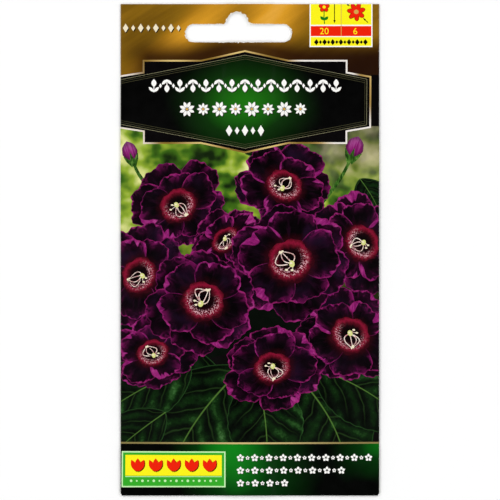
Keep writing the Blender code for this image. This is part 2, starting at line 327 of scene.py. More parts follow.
@ink("petal", "petal_ink")
def petalShade(bench, x, y):
    turn, reach, rim, seed = bench.motif()       # across the lobe, and from the throat to the rim
    crumple = bench.noise((x, y, seed * 9.1), 0.36, 3.0, 0.6, 0.8)
    veil = bench.noise((x, y, seed * 3.7), 0.10, 2.0, 0.5, 0.3)
    outer = bench.step(0.40, 0.74, reach)
    shade = bench.ramp(veil, (0.42, "#040103"), (0.56, "#0B030A"), (0.72, "#1C0A20"))
    sheen = bench.noise((turn * 5.0, reach * 1.6, seed * 2.1), 1.5, 3.0, 0.6)
    velvet = bench.step(0.50, 0.74, sheen) * bench.step(0.34, 0.60, reach)
    shade = bench.mix(velvet * 0.5, shade, "#260820")
    # the velvet turns magenta towards the rim, more in some places than in others
    place = bench.noise((turn * 1.3, seed * 2.3, 0.4), 1.7, 2.0)
    glow = bench.step(3.6, 0.0, rim) * bench.step(0.36, 0.70, place) * outer
    shade = bench.mix(glow * 0.6, shade, "#4A0C38")
    # ruffles that run in from the rim
    folds = bench.maths("SINE", turn * 9.0 + crumple * 11.0 + seed * 5.0)
    near = bench.step(3.6, 0.1, rim) * outer
    crest = bench.step(0.25, 1.0, folds) * near * near * bench.step(0.30, 0.60, place)
    shade = bench.mix(crest * 0.7, shade, "#761256")
    shade = bench.mix(bench.step(-0.1, -0.9, folds) * near * 0.75, shade, "#060106")
    # the rim turned over in places, so that its paler underside shows
    width = bench.step(0.55, 0.76, place, 0.0, 3.0) * outer
    lapped = bench.step(-0.30, 0.30, width - rim)
    veins = bench.noise((turn * 14.0, reach * 2.4, seed), 1.6, 3.0, 0.6)
    under = bench.ramp(veins * 0.5 + crumple * 0.6, (0.36, "#5C0E44"), (0.54, "#921E70"), (0.74, "#BE4A96"))
    shadow = bench.step(1.5, 0.0, rim - width) * bench.step(0.3, 1.2, width)
    shade = bench.mix(shadow * 0.85, shade, "#040104")
    shade = bench.mix(lapped * 0.92, shade, under)
    # the thin bright edge
    shimmer = bench.noise((turn * 4.0, seed * 1.9, 2.0), 1.8, 3.0)
    thin = bench.step(0.36, 0.70, shimmer, -0.12, 0.46)
    edge = bench.step(0.34, -0.14, rim - thin)
    tint = bench.ramp(shimmer, (0.30, "#36082A"), (0.52, "#7A1458"), (0.74, "#B03488"))
    redder = bench.step(0.42, 0.58, bench.noise((seed * 1.7, 0.3, 0.0), 1.0))
    tint = bench.mix(redder * 0.5, tint, "#8E1C5A")
    shade = bench.mix(edge * (outer * 0.86 + 0.04), shade, tint)
    # crimson glow out of the throat
    warm = bench.step(0.64, 0.30, reach + (crumple - 0.5) * 0.26)
    return bench.mix(warm * 0.95, shade, "#330510")


@ink("throat", "throat_ink")
def throatShade(bench, x, y):
    u, v, _, seed = bench.motif()
    reach = bench.maths("SQRT", u * u + (v - 0.10) * (v - 0.10))
    rays = bench.noise((bench.maths("ARCTAN2", v, u) * 4.5, reach * 1.2, seed), 1.5, 3.0, 0.6)
    grain = bench.noise((u * 6.0, v * 6.0, seed), 1.0, 3.0, 0.7)
    level = reach + (rays - 0.5) * 0.32 + (grain - 0.5) * 0.18
    shade = bench.ramp(level, (0.25, "#050102"), (0.48, "#1A0308"), (0.64, "#560A1A"), (0.78, "#861230"),
                       (0.90, "#5E0C1E"), (1.0, "#330510"))
    specks = bench.noise((u * 15.0, v * 15.0, seed), 1.0, 2.0, 0.6)
    ring = bench.step(0.46, 0.62, reach) * bench.step(0.90, 0.70, reach)
    lower = bench.step(0.6, -0.3, v)
    return bench.mix(bench.step(0.50, 0.62, specks) * ring * lower * 0.85, shade, "#EDB9C2")


@ink("leaf", "leaf_ink")
def leafShade(bench, x, y):
    along, across, rim, seed = bench.motif()
    side = abs(across)
    wander = bench.noise((along * 3.0, across * 1.6, seed), 1.0, 2.0)
    between = bench.maths("FRACT", along * 5.5 - side * 1.7 + (wander - 0.5) * 0.9 + 8.0)
    vein = bench.step(0.07, 0.0, between) + bench.step(0.93, 1.0, between)
    vein = vein * bench.step(1.0, 0.2, side)
    quilt = bench.step(0.0, 0.5, between) * bench.step(1.0, 0.55, between)
    mottle = bench.noise((x, y, seed), 0.22, 4.0, 0.62)
    pores = bench.noise((x, y, seed + 3.0), 1.9, 2.0, 0.6)
    light = quilt * 0.24 + mottle * 0.72 + pores * 0.16 + bench.step(-0.9, 0.9, across) * 0.14
    shade = bench.ramp(light, (0.40, "#010301"), (0.60, "#050F05"), (0.78, "#0D270B"), (0.90, "#264E20"),
                       (1.0, "#4C7A44"))
    shade = bench.mix(vein * 0.22, shade, "#41692F")
    rib = bench.step(0.030, 0.006, side + along * 0.012) * bench.step(1.0, 0.6, along)
    shade = bench.mix(rib * 0.5, shade, "#6C9C42")
    return bench.mix(bench.step(0.40, 0.05, rim) * 0.18, shade, "#4E8A44")


@ink("filament", "filament_ink")
def filamentShade(bench, x, y):
    tone = bench.noise((x, y, 2.0), 0.9, 2.0)
    return bench.ramp(tone, (0.3, "#B8606E"), (0.5, "#F0D2C8"), (0.7, "#FFF6E8"))


@ink("bud", "bud_ink")
def budShade(bench, x, y):
    along, across, rim, seed = bench.motif()
    stripe = bench.noise((across * 6.0, along * 1.2, seed), 1.0, 3.0)
    shade = bench.ramp(stripe * 0.6 + along * 0.35, (0.2, "#2E0826"), (0.5, "#8A1E6E"), (0.8, "#C774B8"))
    return bench.mix(bench.step(1.3, 0.0, rim) * 0.6, shade, "#1A0518")


@ink("header", "header_gold_ink")
def headerShade(bench, x, y):
    along = x * 0.84 + y * 0.54              # the satin streaks lean to the right
    across = y * 0.84 - x * 0.54
    broad = bench.noise((across * 0.15, along * 0.03, 3.1), 1.0, 2.0, 0.45)
    fine = bench.noise((across * 0.8, along * 0.05, 8.0), 1.0, 2.0, 0.5)
    leftGlow = bench.step(15.0, 0.0, abs(x - y * 0.9 + 78.0))
    rightGlow = bench.step(15.0, 0.0, abs(x - y * 0.6 + 36.0))
    light = broad * 0.50 + fine * 0.12 + leftGlow * 0.38 + rightGlow * 0.60 + 0.03
    shade = bench.ramp(light, (0.18, "#5A3E08"), (0.36, "#856012"), (0.56, "#A87618"), (0.80, "#DC9C28"),
                       (1.0, "#F2B650"))
    panelTop = bench.step(2.0, 20.0, abs(x + 1.5), 61.4, 58.2)   # the print darkens towards the panel
    dark = bench.step(9.5, 1.0, y - panelTop) * bench.step(-42.0, -31.0, x)
    shade = bench.mix(dark * 0.94, shade, "#260D05")
    corner = bench.step(14.0, 34.0, x) * bench.step(67.0, 56.0, y)
    return bench.mix(corner * 0.7, shade, "#1E0C05")


@ink("goldLine", "gold_line_ink")
def goldLineShade(bench, x, y):
    # gold that comes and goes, white at the right shoulder and paler at the left end
    sweep = bench.maths("SINE", x * 0.3 + y * 0.1 + 2.75)
    shade = bench.ramp(sweep * 0.5 + 0.5, (0.0, "#866A2C"), (0.5, "#B8975A"), (1.0, "#DCC07A"))
    lit = bench.step(11.0, 17.0, x + (y - 58.5) * 0.39) * bench.step(37.2, 34.4, x + (y - 45.8) * 0.34)
    faded = bench.step(-27.0, -34.0, x + (y - 33.0) * 0.2)
    return bench.mix(lit + faded * 0.8, shade, "#EFE8E2")


@ink("panel", "panel_ink")
def panelShade(bench, x, y):
    # black with a soft green glow in the middle
    dx, dy = (x + 1.5) / 25.0, (y - 45.0) / 19.0
    wave = bench.noise((x * 0.06, y * 0.06, 1.7), 1.0, 1.0)
    reach = bench.maths("SQRT", dx * dx + dy * dy) + (wave - 0.5) * 0.25
    return bench.ramp(bench.step(1.0, 0.0, reach), (0.0, "#010101"), (0.45, "#0C3008"), (1.0, "#1D7010"))


@ink("strip", "strip_ink")
def stripShade(bench, x, y):
    # black lit green beside the plate and in the upper right corner
    wave = bench.noise((x * 0.09, y * 0.13, 5.0), 1.0, 1.0)
    past = x + 4.5 + (y + 66.0) * 0.2        # mm right of the brightest line, which leans
    left = bench.step(31.0, -8.0, past) * bench.step(-22.0, 2.0, past) * bench.step(-92.0, -60.0, y)
    right = bench.step(22.0, 44.0, x) * bench.step(-74.0, -60.0, y + (wave - 0.5) * 6.0)
    light = left + right * 0.75 + (wave - 0.5) * 0.12
    return bench.ramp(light, (0.02, "#010201"), (0.45, "#043409"), (0.88, "#10821A"))


@ink("stem", "stem_ink")
def stemShade(bench, x, y):
    tone = bench.noise((x * 1.4, y * 0.5, 7.0), 0.9, 3.0, 0.6)
    return bench.ramp(tone, (0.34, "#16300C"), (0.52, "#33601C"), (0.68, "#6B9440"))


@ink("rule", "gold_rule_ink")
def ruleShade(bench, x, y):
    # brightest in the middle
    return bench.mix(bench.step(34.0, 0.0, abs(x)), "#8A7C4C", "#D6BC80")


@ink("back", "back_print_ink")
def backShade(bench, x, y):
    wash = bench.noise((x, y, 5.0), 0.03, 2.0)
    return bench.mix(bench.step(-70.0, 70.0, y) * 0.7 + wash * 0.3, "#D5E6BE", "#F4F3DC")


def rawPaper():
    bench = Bench("raw_paper")
    fibre = bench.noise(bench.here(), 3.5, 5.0, 0.7, 0.8)
    shade = bench.ramp(fibre, (0.3, "#DAD5CA"), (0.6, "#F1EEE6"), (0.8, "#FBFAF6"))
    return bench.finish(shade, 0.85, fibre, 0.03)


plainInks = {
    "notch": ("notch_black_ink", "#050304"), "fineLine": ("fine_line_ink", "#A6A27C"),
    "faintLine": ("faint_line_ink", "#57553A"), "white": ("white_ink", "#FDFCF8"),
    "cream": ("cream_ink", "#F3E7C8"), "shadow": ("shadow_ink", "#150802"),
    "yellow": ("yellow_ink", "#FFF61C"), "red": ("red_ink", "#F0230A"), "green": ("green_ink", "#36AC2A"),
    "darkGreen": ("dark_green_ink", "#0F7A1C"), "black": ("black_ink", "#0A0808"),
    "lime": ("lime_ink", "#C8F5B4"), "anther": ("anther_ink", "#D9DC8A"),
    "olive": ("olive_ink", "#5B6E2A"), "paleGold": ("pale_gold_ink", "#D8A850"),
}
for key, (name, code) in plainInks.items():
    inks[key] = printed(Bench(name), colour(code))
inks["raw"] = rawPaper()
inkNames = list(inks)
print("inks mixed:", len(inks))


# The drawing: shapes in flat mm, the later ones over the earlier ones

shapes = []
loosePoints = []


def draw(outline, inkName, place=None, tone=None):
    # long edges get points of their own, so that they bend with the sheet
    corners = np.asarray(outline, float)
    points = []
    for start, end in zip(corners, np.roll(corners, -1, axis=0)):
        count = max(1, math.ceil(np.linalg.norm(end - start) / flat["longest"]))
        points += [start + (end - start) * i / count for i in range(count)]
    shapes.append({"outline": np.array(points), "ink": inkName, "place": place, "tone": tone})


def drawAll(outlines, inkName, x=0.0, y=0.0):
    for outline in outlines:
        draw([(px + x, py + y) for px, py in outline], inkName)


def keepPoints(points):
    # points inside the shape that is drawn next
    loosePoints.extend((point, len(shapes)) for point in points)


def rectangle(left, bottom, right, top):
    return [(left, bottom), (right, bottom), (right, top), (left, top)]


def block(left, bottom, right, top, inkName):
    draw(rectangle(left, bottom, right, top), inkName)


def ellipse(cx, cy, rx, ry, steps=20, turn=0.0):
    points = []
    cosTurn, sinTurn = math.cos(turn), math.sin(turn)
    for i in range(steps):
        a = 2 * math.pi * i / steps
        u, v = rx * math.cos(a), ry * math.sin(a)
        points.append((cx + u * cosTurn - v * sinTurn, cy + u * sinTurn + v * cosTurn))
    return points


def strip(points, width, taper=0.0):
    # a band along a line of points
    line = np.asarray(points, float)
    ahead = np.gradient(line, axis=0)
    ahead /= np.linalg.norm(ahead, axis=1, keepdims=True)
    side = np.stack([-ahead[:, 1], ahead[:, 0]], axis=1)
    half = width / 2 * (1.0 - taper * np.linspace(0.0, 1.0, len(line))[:, None])
    return np.concatenate([line + side * half, (line - side * half)[::-1]])


def mitred(points, width):
    # a band of even width with sharp corners, as separate four-cornered lengths
    line = [np.array(p, float) for p in points]
    ways = [(b - a) / np.linalg.norm(b - a) for a, b in zip(line, line[1:])]
    sides = []
    for before, after in zip([ways[0], *ways], [*ways, ways[-1]]):
        normal = np.array([-before[1] - after[1], before[0] + after[0]])
        normal /= np.linalg.norm(normal)
        lean = max(0.35, normal @ np.array([-before[1], before[0]]))
        sides.append(normal * width / 2 / lean)
    return [[a + p, b + q, b - q, a - p] for a, b, p, q in zip(line, line[1:], sides, sides[1:])]


def edgeDistance(points, outline):
    # how far each point is from the outline
    best = np.full(len(points), 1e9)
    for start, end in zip(outline, np.roll(outline, -1, axis=0)):
        way = end - start
        share = np.clip(((points - start) @ way) / max((way**2).sum(), 1e-12), 0.0, 1.0)
        gap = points - start - share[:, None] * way
        best = np.minimum(best, (gap**2).sum(1))
    return np.sqrt(best)


def toneOf(outline, number):
    # for an ink: mm in from the edge, and a number that sets the shape apart
    return lambda points: np.stack([edgeDistance(points, outline), np.full(len(points), number)], axis=1)


def turnedFrame(centre, turn, squash, size=1.0):
    # from a motif's own places to the flat sheet and back: turned, and squashed across
    cosTurn, sinTurn = math.cos(turn), math.sin(turn)

    def toFlat(u, v):
        a, b = np.asarray(u, float) * size, np.asarray(v, float) * size * squash
        spots = [centre[0] + a * cosTurn - b * sinTurn, centre[1] + a * sinTurn + b * cosTurn]
        return np.stack(spots, axis=-1)

    def toMotif(points):
        dx, dy = points[:, 0] - centre[0], points[:, 1] - centre[1]
        return (dx * cosTurn + dy * sinTurn) / size, (-dx * sinTurn + dy * cosTurn) / size / squash
    return toFlat, toMotif


def alongFrame(foot, tip):
    # foot, length, and the directions ahead and to the side
    foot, tip = np.array(foot, float), np.array(tip, float)
    length = np.linalg.norm(tip - foot)
    ahead = (tip - foot) / length
    return foot, length, ahead, np.array([-ahead[1], ahead[0]])


# The picture: blooms, buds and leaves

bloomLook = {
    "frontLobes": 5, "backLobes": 6, "lobeWidth": 0.92, "outlineSteps": 56, "throat": 0.38,
    "rings": (0.97, 0.91, 0.82, 0.68, 0.48),                   # where a lobe gets points inside it
    "ruffles": ((0.045, 2.6), (0.026, 7.5), (0.016, 17.0), (0.012, 33.0)),   # height and rate of each
    "bows": (0.34, 0.13, -0.10, -0.30), "filament": (0.038, 0.054), "strayFilament": 0.034,
}


def lobe(centre, turn, squash, axis, halfAngle, radius, seed):
    # one ruffled lobe, drawn round the bloom's own centre
    dice = random.Random(seed)
    phases = [dice.uniform(0, 6.28) for _ in bloomLook["ruffles"]]
    toFlat, toMotif = turnedFrame(centre, turn, squash)

    def rimAt(phi, share=1.0):
        envelope = (1.0 - np.clip(np.abs(phi) / halfAngle, 0.0, 1.0) ** 3.2) ** 0.44
        waves = [height * np.sin(rate * (phi / halfAngle) + phase)
                 for (height, rate), phase in zip(bloomLook["ruffles"], phases)]
        reach = radius * envelope * (1.0 + sum(waves)) * share
        return toFlat(reach * np.cos(axis + phi), reach * np.sin(axis + phi))

    def place(points):
        a, b = toMotif(points)
        phi = (np.arctan2(b, a) - axis + math.pi) % (2 * math.pi) - math.pi
        return np.stack([phi / halfAngle, np.hypot(a, b) / radius], axis=1)

    steps = np.linspace(-1.0, 1.0, bloomLook["outlineSteps"] + 1)
    phis = halfAngle * np.sign(steps) * np.abs(steps) ** 0.8
    outline = np.concatenate([rimAt(phis[1:-1]), [centre]])
    for k, share in enumerate(bloomLook["rings"]):
        keepPoints(rimAt(phis[2:-2:1 + k // 2], share))
    draw(outline, "petal", place, toneOf(outline, seed % 97 * 0.37))


def bloom(centre, radius, turn, squash, seed):
    dice = random.Random(seed)
    back, front, wide = (bloomLook[key] for key in ("backLobes", "frontLobes", "lobeWidth"))
    for k in range(back):
        axis = 2 * math.pi * (k + 0.5) / back + dice.uniform(-0.15, 0.15)
        lobe(centre, turn, squash, axis, wide * 0.85, radius * dice.uniform(0.93, 1.06), seed * 31 + k)
    for k in random.Random(seed + 5).sample(range(front), front):
        axis = 2 * math.pi * k / front + dice.uniform(-0.12, 0.12)
        lobe(centre, turn, squash, axis, wide, radius * dice.uniform(0.74, 0.86), seed * 31 + 10 + k)
    drawThroat(centre, radius * bloomLook["throat"], turn, squash, seed)


def drawThroat(centre, size, turn, squash, seed):
    dice = random.Random(seed + 77)
    toFlat, toMotif = turnedFrame(centre, turn, squash, size)
    angles = np.linspace(0.0, 2 * math.pi, 41)[:-1]
    wave = 1.0 + 0.05 * np.sin(5 * angles + seed) + 0.04 * np.sin(11 * angles + 2.0 * seed)
    outline = toFlat(wave * np.cos(angles), wave * np.sin(angles))
    draw(outline, "throat", lambda points: np.stack(toMotif(points), axis=1), toneOf(outline, seed * 0.7))
    # pale filaments bow out from the green knob towards the anthers, and two shorter ones stray to one side
    heading = dice.choice((-1.5, -1.9, -1.1, 1.4, 1.9)) + dice.uniform(-0.4, 0.4)
    share = np.linspace(0.0, 1.0, 16)
    ahead = np.array([math.cos(heading), math.sin(heading)])
    side = np.array([-ahead[1], ahead[0]])
    lean = dice.uniform(-0.26, 0.26)

    def filament(along, across, width):
        line = toFlat(*(np.outer(ahead, along) + np.outer(side, across)))
        draw(strip(line - (0.0, size * 0.05), size * width * 1.3, 0.3), "shadow")
        draw(strip(line, size * width, 0.35), "filament")
        draw(ellipse(*line[-1], size * 0.07, size * 0.045, 10, width * 90), "cream")

    for bow in bloomLook["bows"]:
        bow += dice.uniform(-0.07, 0.07)
        reach = dice.uniform(0.54, 0.70)
        across = (bow + lean * 0.4) * np.sin(math.pi * share**0.8) + bow * 0.25 + (lean - bow * 0.1) * share
        filament(-0.08 + (reach + 0.08) * share, across, dice.uniform(*bloomLook["filament"]))
    stray = dice.choice((-1, 1)) * dice.uniform(1.5, 2.0)
    for turned, length in ((stray, dice.uniform(0.30, 0.42)), (stray * 1.4, dice.uniform(0.20, 0.30))):
        bow = dice.uniform(-0.09, 0.09) * np.sin(math.pi * share)
        along = (length * math.cos(turned)) * share - bow * math.sin(turned)
        across = (length * math.sin(turned)) * share + bow * math.cos(turned)
        filament(-0.14 + along, across, bloomLook["strayFilament"])
    knob = toFlat(*(ahead * -0.14))
    draw(ellipse(*knob, size * 0.15, size * 0.12, 14, heading), "anther")
    draw(ellipse(knob[0] - size * 0.04, knob[1] + size * 0.03, size * 0.06, size * 0.045, 10), "cream")


def leaf(foot, tip, width, seed, bend=0.0):
    foot, length, ahead, side = alongFrame(foot, tip)
    phase = random.Random(seed).uniform(0, 6.28)

    def toFlat(along, across):
        lift = bend * np.sin(math.pi * along)
        return foot + np.outer(along * length, ahead) + np.outer(across * width + lift, side)

    def place(points):
        along = (points - foot) @ ahead / length
        lift = bend * np.sin(math.pi * np.clip(along, 0, 1))
        return np.stack([along, ((points - foot) @ side - lift) / width], axis=1)

    steps = np.linspace(0.0, 1.0, 46)
    half = np.sin(math.pi * steps**0.86) ** 0.80
    scalloped = half * (1.0 + 0.035 * np.abs(np.sin(steps * 34.0 + phase)) * np.sin(math.pi * steps))
    outline = np.concatenate([toFlat(steps, scalloped), toFlat(steps[-2:0:-1], -scalloped[-2:0:-1])])
    for share in (0.97, 0.9, 0.6, 0.3, 0.0):
        keepPoints(toFlat(steps[2:-2:2], half[2:-2:2] * share))
        keepPoints(toFlat(steps[2:-2:2], -half[2:-2:2] * share))
    draw(outline, "leaf", place, toneOf(outline, seed * 1.3))


def bud(foot, tip, width, seed):
    foot, length, ahead, side = alongFrame(foot, tip)
    steps = np.linspace(0.0, 1.0, 18)
    half = np.sin(math.pi * steps**1.25) ** 0.8 * (1.0 + 0.05 * np.sin(steps * 17))
    middle, out = foot + np.outer(steps * length, ahead), np.outer(half * width, side)
    outline = np.concatenate([middle + out, (middle - out)[-2:0:-1]])

    def place(points):
        way = points - foot
        return np.stack([way @ ahead / length, way @ side / width], axis=1)

    draw(outline, "bud", place, toneOf(outline, seed * 1.7))
    for k in (-1, 0, 1):
        leafTip = foot + ahead * length * (0.5 - 0.1 * abs(k)) + side * width * 0.95 * k
        sepal = [foot - ahead * 0.3, (foot + leafTip) / 2 + side * 0.35 * k, leafTip]
        draw(strip(sepal, width * 0.75, 0.9), "stem")


picture = {
    "bottom": -59.8, "top": 62.0,
    "leaves": (                             # foot, tip, half width, seed, bend
        ((-8, -40), (-47, -30), 9.5, 3, 2.0), ((12, -38), (46, -30), 9.0, 4, -2.0),
        ((-2, -36), (-27, -74), 14.0, 5, -3.0), ((16, -40), (31, -73), 13.0, 6, 3.0),
        ((20, -36), (52, -56), 11.0, 7, 2.0), ((2, -38), (5, -72), 11.5, 8, 1.5),
        ((-18, -36), (-50, -54), 10.0, 9, -1.5), ((-26, -50), (-49, -70), 8.0, 13, -1.0),
        ((-2, 30), (20, 36), 4.5, 10, 1.0), ((34, 22), (42, 6), 6.0, 12, 1.0),
    ),
    "stalks": (((20, 12), (29, 22), (31, 28)), ((-24, 14), (-34, 20), (-36, 27))),
    "buds": (((31, 27.5), (33.6, 35.0), 2.8, 3), ((-36, 26.5), (-38.2, 33.5), 2.4, 4)),
    "blooms": (                             # centre, radius, turn, squash, seed
        ((-22.0, 13.5), 15.5, 0.5, 0.88, 21), ((10.5, 19.5), 15.5, -0.4, 0.84, 22),
        ((-34.0, -8.0), 15.5, 0.9, 0.90, 24), ((34.5, 2.0), 15.5, -1.0, 0.90, 25),
        ((-7.5, 3.0), 12.5, 0.7, 0.72, 31), ((-30.0, -32.0), 13.5, 0.3, 0.82, 26),
        ((31.0, -26.5), 16.5, -0.4, 0.90, 27), ((12.5, -3.5), 18.5, 0.3, 0.95, 28),
        ((-14.5, -16.0), 17.5, -0.2, 0.92, 29), ((7.0, -36.5), 15.5, 0.15, 0.84, 30),
    ),
}


def drawPicture():
    bottom = picture["bottom"]
    block(-bleed, bottom, bleed, picture["top"], "garden")
    draw([(-bleed, -34.0), (-26.0, -37.0), (0.0, -30.0), (26.0, -36.0), (bleed, -33.0), (bleed, bottom),
          (-bleed, bottom)], "black")
    for measures in picture["leaves"]:
        leaf(*measures)
    share = np.linspace(0.0, 1.0, 12)[:, None]
    for points in picture["stalks"]:
        a, b, c = (np.array(p, float) for p in points)
        draw(strip((1 - share)**2 * a + 2 * share * (1 - share) * b + share**2 * c, 1.3, 0.3), "stem")
    for measures in picture["buds"]:
        bud(*measures)
    for measures in picture["blooms"]:
        bloom(*measures)


# The rows of small ornaments, repeated along a line with Geometry Nodes

def makeRowTree():
    tree = bpy.data.node_groups.new("ornamentRow", "GeometryNodeTree")
    for name, kind in (("Geometry", "Geometry"), ("Count", "Int"), ("Pitch", "Float"), ("Turn", "Float"),
                       ("Shrink", "Float"), ("Ink", "Material")):
        tree.interface.new_socket(name, in_out="INPUT", socket_type="NodeSocket" + kind)
    tree.interface.new_socket("Geometry", in_out="OUTPUT", socket_type="NodeSocketGeometry")
    bench = Bench("row", tree)
    motif, count, pitch, turn, shrink, dye = bench.outputs(bench.node("NodeGroupInput"))[:6]
    line = bench.node("GeometryNodeMeshLine", None, {"Count": count, "Offset": bench.combine(pitch, 0.0)})
    odd = bench.maths("MODULO", bench.node("GeometryNodeInputIndex"), 2.0)
    turned = bench.combine(0.0, 0.0, odd * turn)
    instances = {"Points": line, "Instance": motif, "Rotation": turned, "Scale": 1.0 - odd * shrink}
    put = bench.node("GeometryNodeInstanceOnPoints", None, instances)
    real = bench.node("GeometryNodeRealizeInstances", None, {0: put})
    dyed = bench.node("GeometryNodeSetMaterial", None, {"Geometry": real, "Material": dye})
    bench.node("NodeGroupOutput", None, {0: dyed})
    return tree


rowTree = makeRowTree()
rowSockets = {item.name: item.identifier for item in rowTree.interface.items_tree if item.in_out == "INPUT"}


def facesOf(data, sizes=None):
    # the faces that Blender makes from this data, in a row where sizes are given, as flat outlines
    holder = bpy.data.objects.new(data.name, data)
    bpy.context.scene.collection.objects.link(holder)
    if sizes:
        repeat = holder.modifiers.new("row", "NODES")
        repeat.node_group = rowTree
        for name, value in sizes.items():
            repeat[rowSockets[name]] = value
    graph = bpy.context.evaluated_depsgraph_get()
    graph.update()
    mesh = bpy.data.meshes.new_from_object(holder.evaluated_get(graph))
    outlines = [[mesh.vertices[i].co[:2] for i in polygon.vertices] for polygon in mesh.polygons]
    bpy.data.objects.remove(holder)
    bpy.data.meshes.remove(mesh)
    return outlines


def ornamentRow(motif, start, count, pitch, inkName, turn=0.0, shrink=0.0, shadow=None):
    # motif is a list of outlines round (0, 0), and the row runs from start to the right
    mesh = bpy.data.meshes.new("motif")
    corners, faces = [], []
    for outline in motif:
        faces.append(list(range(len(corners), len(corners) + len(outline))))
        corners += [(x, y, 0.0) for x, y in outline]
    mesh.from_pydata(corners, [], faces)
    sizes = {"Count": count, "Pitch": pitch, "Turn": turn, "Shrink": shrink, "Ink": inks[inkName]}
    outlines = facesOf(mesh, sizes)
    if shadow is not None:
        drawAll(outlines, "shadow", start[0] + shadow, start[1] - shadow)
    drawAll(outlines, inkName, *start)


def numberShapes(text, height):
    # plain numerals with their lower left corner at (0, 0), and how wide they are
    letters = bpy.data.curves.new("number", "FONT")
    letters.body, letters.size, letters.resolution_u = text, 1.0, 3
    outlines = facesOf(letters)
    points = np.concatenate(outlines)
    low, high = points.min(0), points.max(0)
    scale = height / (high[1] - low[1])
    return [(np.array(outline) - low) * scale for outline in outlines], (high[0] - low[0]) * scale


def diamond(width, height):
    return [(-width / 2, 0.0), (0.0, -height / 2), (width / 2, 0.0), (0.0, height / 2)]


def petalShape(length, width, turn, x=0.0, y=0.0, steps=5):
    # a pointed oval that starts at (x, y)
    points = []
    for side in (1, -1):
        for i in range(steps):
            share = i / steps if side == 1 else 1.0 - i / steps
            across = side * width / 2 * math.sin(math.pi * share) ** 0.9
            along = length * share
            points.append((x + along * math.cos(turn) - across * math.sin(turn),
                           y + along * math.sin(turn) + across * math.cos(turn)))
    return points


def rosette(radius, petals, width, turn=0.0):
    eye = radius * 0.22
    headings = [turn + 2 * math.pi * k / petals for k in range(petals)]
    return [petalShape(radius, width, a, eye * math.cos(a), eye * math.sin(a)) for a in headings]


def sprig(height):
    # a bud on a short stalk between two leaves
    motif = [petalShape(height * 0.62, height * 0.40, math.pi / 2, 0.0, -height * 0.10, 6),
             rectangle(-height * 0.035, -height / 2, height * 0.035, 0.0)]
    for side in (-1, 1):
        motif.append(petalShape(height * 0.56, height * 0.24, math.pi / 2 - side * 0.80, 0.0, -height * 0.48))
    return motif


# The dark panel with its gold frame, over the gold header

panelFrame = {
    "centreX": -1.47, "topY": 61.43, "shoulderY": 58.49, "shoulder": 13.6, "corner": 31.3, "notchY": 54.8,
    "sideY": 53.5, "right": 37.2, "left": -39.95, "middleY": 45.7, "line": 0.52,
    "lineGap": 0.60, "fine": 0.08, "inside": 1.25,         # the three fine lines inside the frame
}


def withMirror(points):
    # the same again below the panel's middle height
    return [*points, *((x, 2 * panelFrame["middleY"] - y) for x, y in reversed(points))]


def drawHeaderAndPanel():
    f = panelFrame
    c, middleY, sideY = f["centreX"], f["middleY"], f["sideY"]
    shoulderY, notchY = f["shoulderY"], f["notchY"]
    # the header goes down to the panel's lower edge at the right, where it is black
    lower = [(-bleed, middleY), (f["right"], middleY), (bleed, middleY)]
    draw([*lower, (bleed, topY + 1.0), (-bleed, topY + 1.0)], "header")
    block(f["right"] - 0.5, 2 * middleY - sideY + 0.3, bleed, sideY + 0.6, "notch")
    outline = withMirror([
        (f["left"] - 1.2, sideY), (c - f["corner"], notchY), (c - f["corner"], shoulderY),
        (c - f["shoulder"], shoulderY), (c, f["topY"]), (c + f["shoulder"] - 0.2, shoulderY),
        (c + f["corner"], shoulderY), (c + f["corner"], notchY), (f["right"], sideY),
    ])
    draw(outline, "notch")
    apex = f["topY"] - f["inside"]
    slope = (apex - sideY + 0.5) / (f["right"] - 2.2 - c)
    left, right = f["left"] - 0.6, f["right"] - 1.1

    def hexagon(drop, inset):
        return withMirror([(x, apex - drop - slope * abs(x - c)) for x in (left, c, right - inset)])

    draw(hexagon(0.0, 0.0), "panel")
    for k in range(3):
        for length in mitred(hexagon(f["lineGap"] * k, f["lineGap"] * min(k, 1)), f["fine"]):
            draw(length, "faintLine" if k else "fineLine")
    for length in mitred(outline, f["line"]):
        draw(length, "goldLine")


ornaments = {                               # height, left end, right end, how many
    "upper": (50.7, -29.6, 26.6, 15), "middle": (43.4, -19.4, 15.6, 8), "lower": (36.7, -6.4, 3.4, 5),
    "corner": (68.6, -38.3, -22.0, 8),
    "strip": ((-64.15, -2.9, 36.6, 19), (-68.1, -2.9, 28.2, 15), (-72.05, -2.9, 10.7, 7)),
}


def drawOrnaments():
    def between(motif, row, inkName, turn=0.0, shrink=0.0, shadow=None):
        y, left, right, count = row
        ornamentRow(motif, (left, y), count, (right - left) / (count - 1), inkName, turn, shrink, shadow)

    between(sprig(4.0), ornaments["upper"], "white", math.pi, 0.0, 0.22)
    y, left, right, count = ornaments["upper"]
    pitch = (right - left) / (count - 1)
    ornamentRow([diamond(0.9, 1.5)], (left + pitch / 2, y), count - 1, pitch, "white", 0.0, 0.0, 0.18)
    between(rosette(2.0, 8, 1.0, math.pi / 8), ornaments["middle"], "white", math.pi / 8, 0.2, 0.25)
    between([ellipse(0, 0, 0.38, 0.38, 10)], ornaments["middle"], "paleGold")
    between([diamond(2.0, 3.4)], ornaments["lower"], "white", 0.0, 0.3, 0.2)
    between([diamond(1.75, 2.7)], ornaments["corner"], "cream", 0.0, 0.3, 0.25)
    for row in ornaments["strip"]:
        between(rosette(1.0, 5, 0.82, math.pi / 2), row, "white", 0.0, 0.45, 0.14)


# The sign block: a flower on its stalk beside a height line, and a flower between two corner arrows

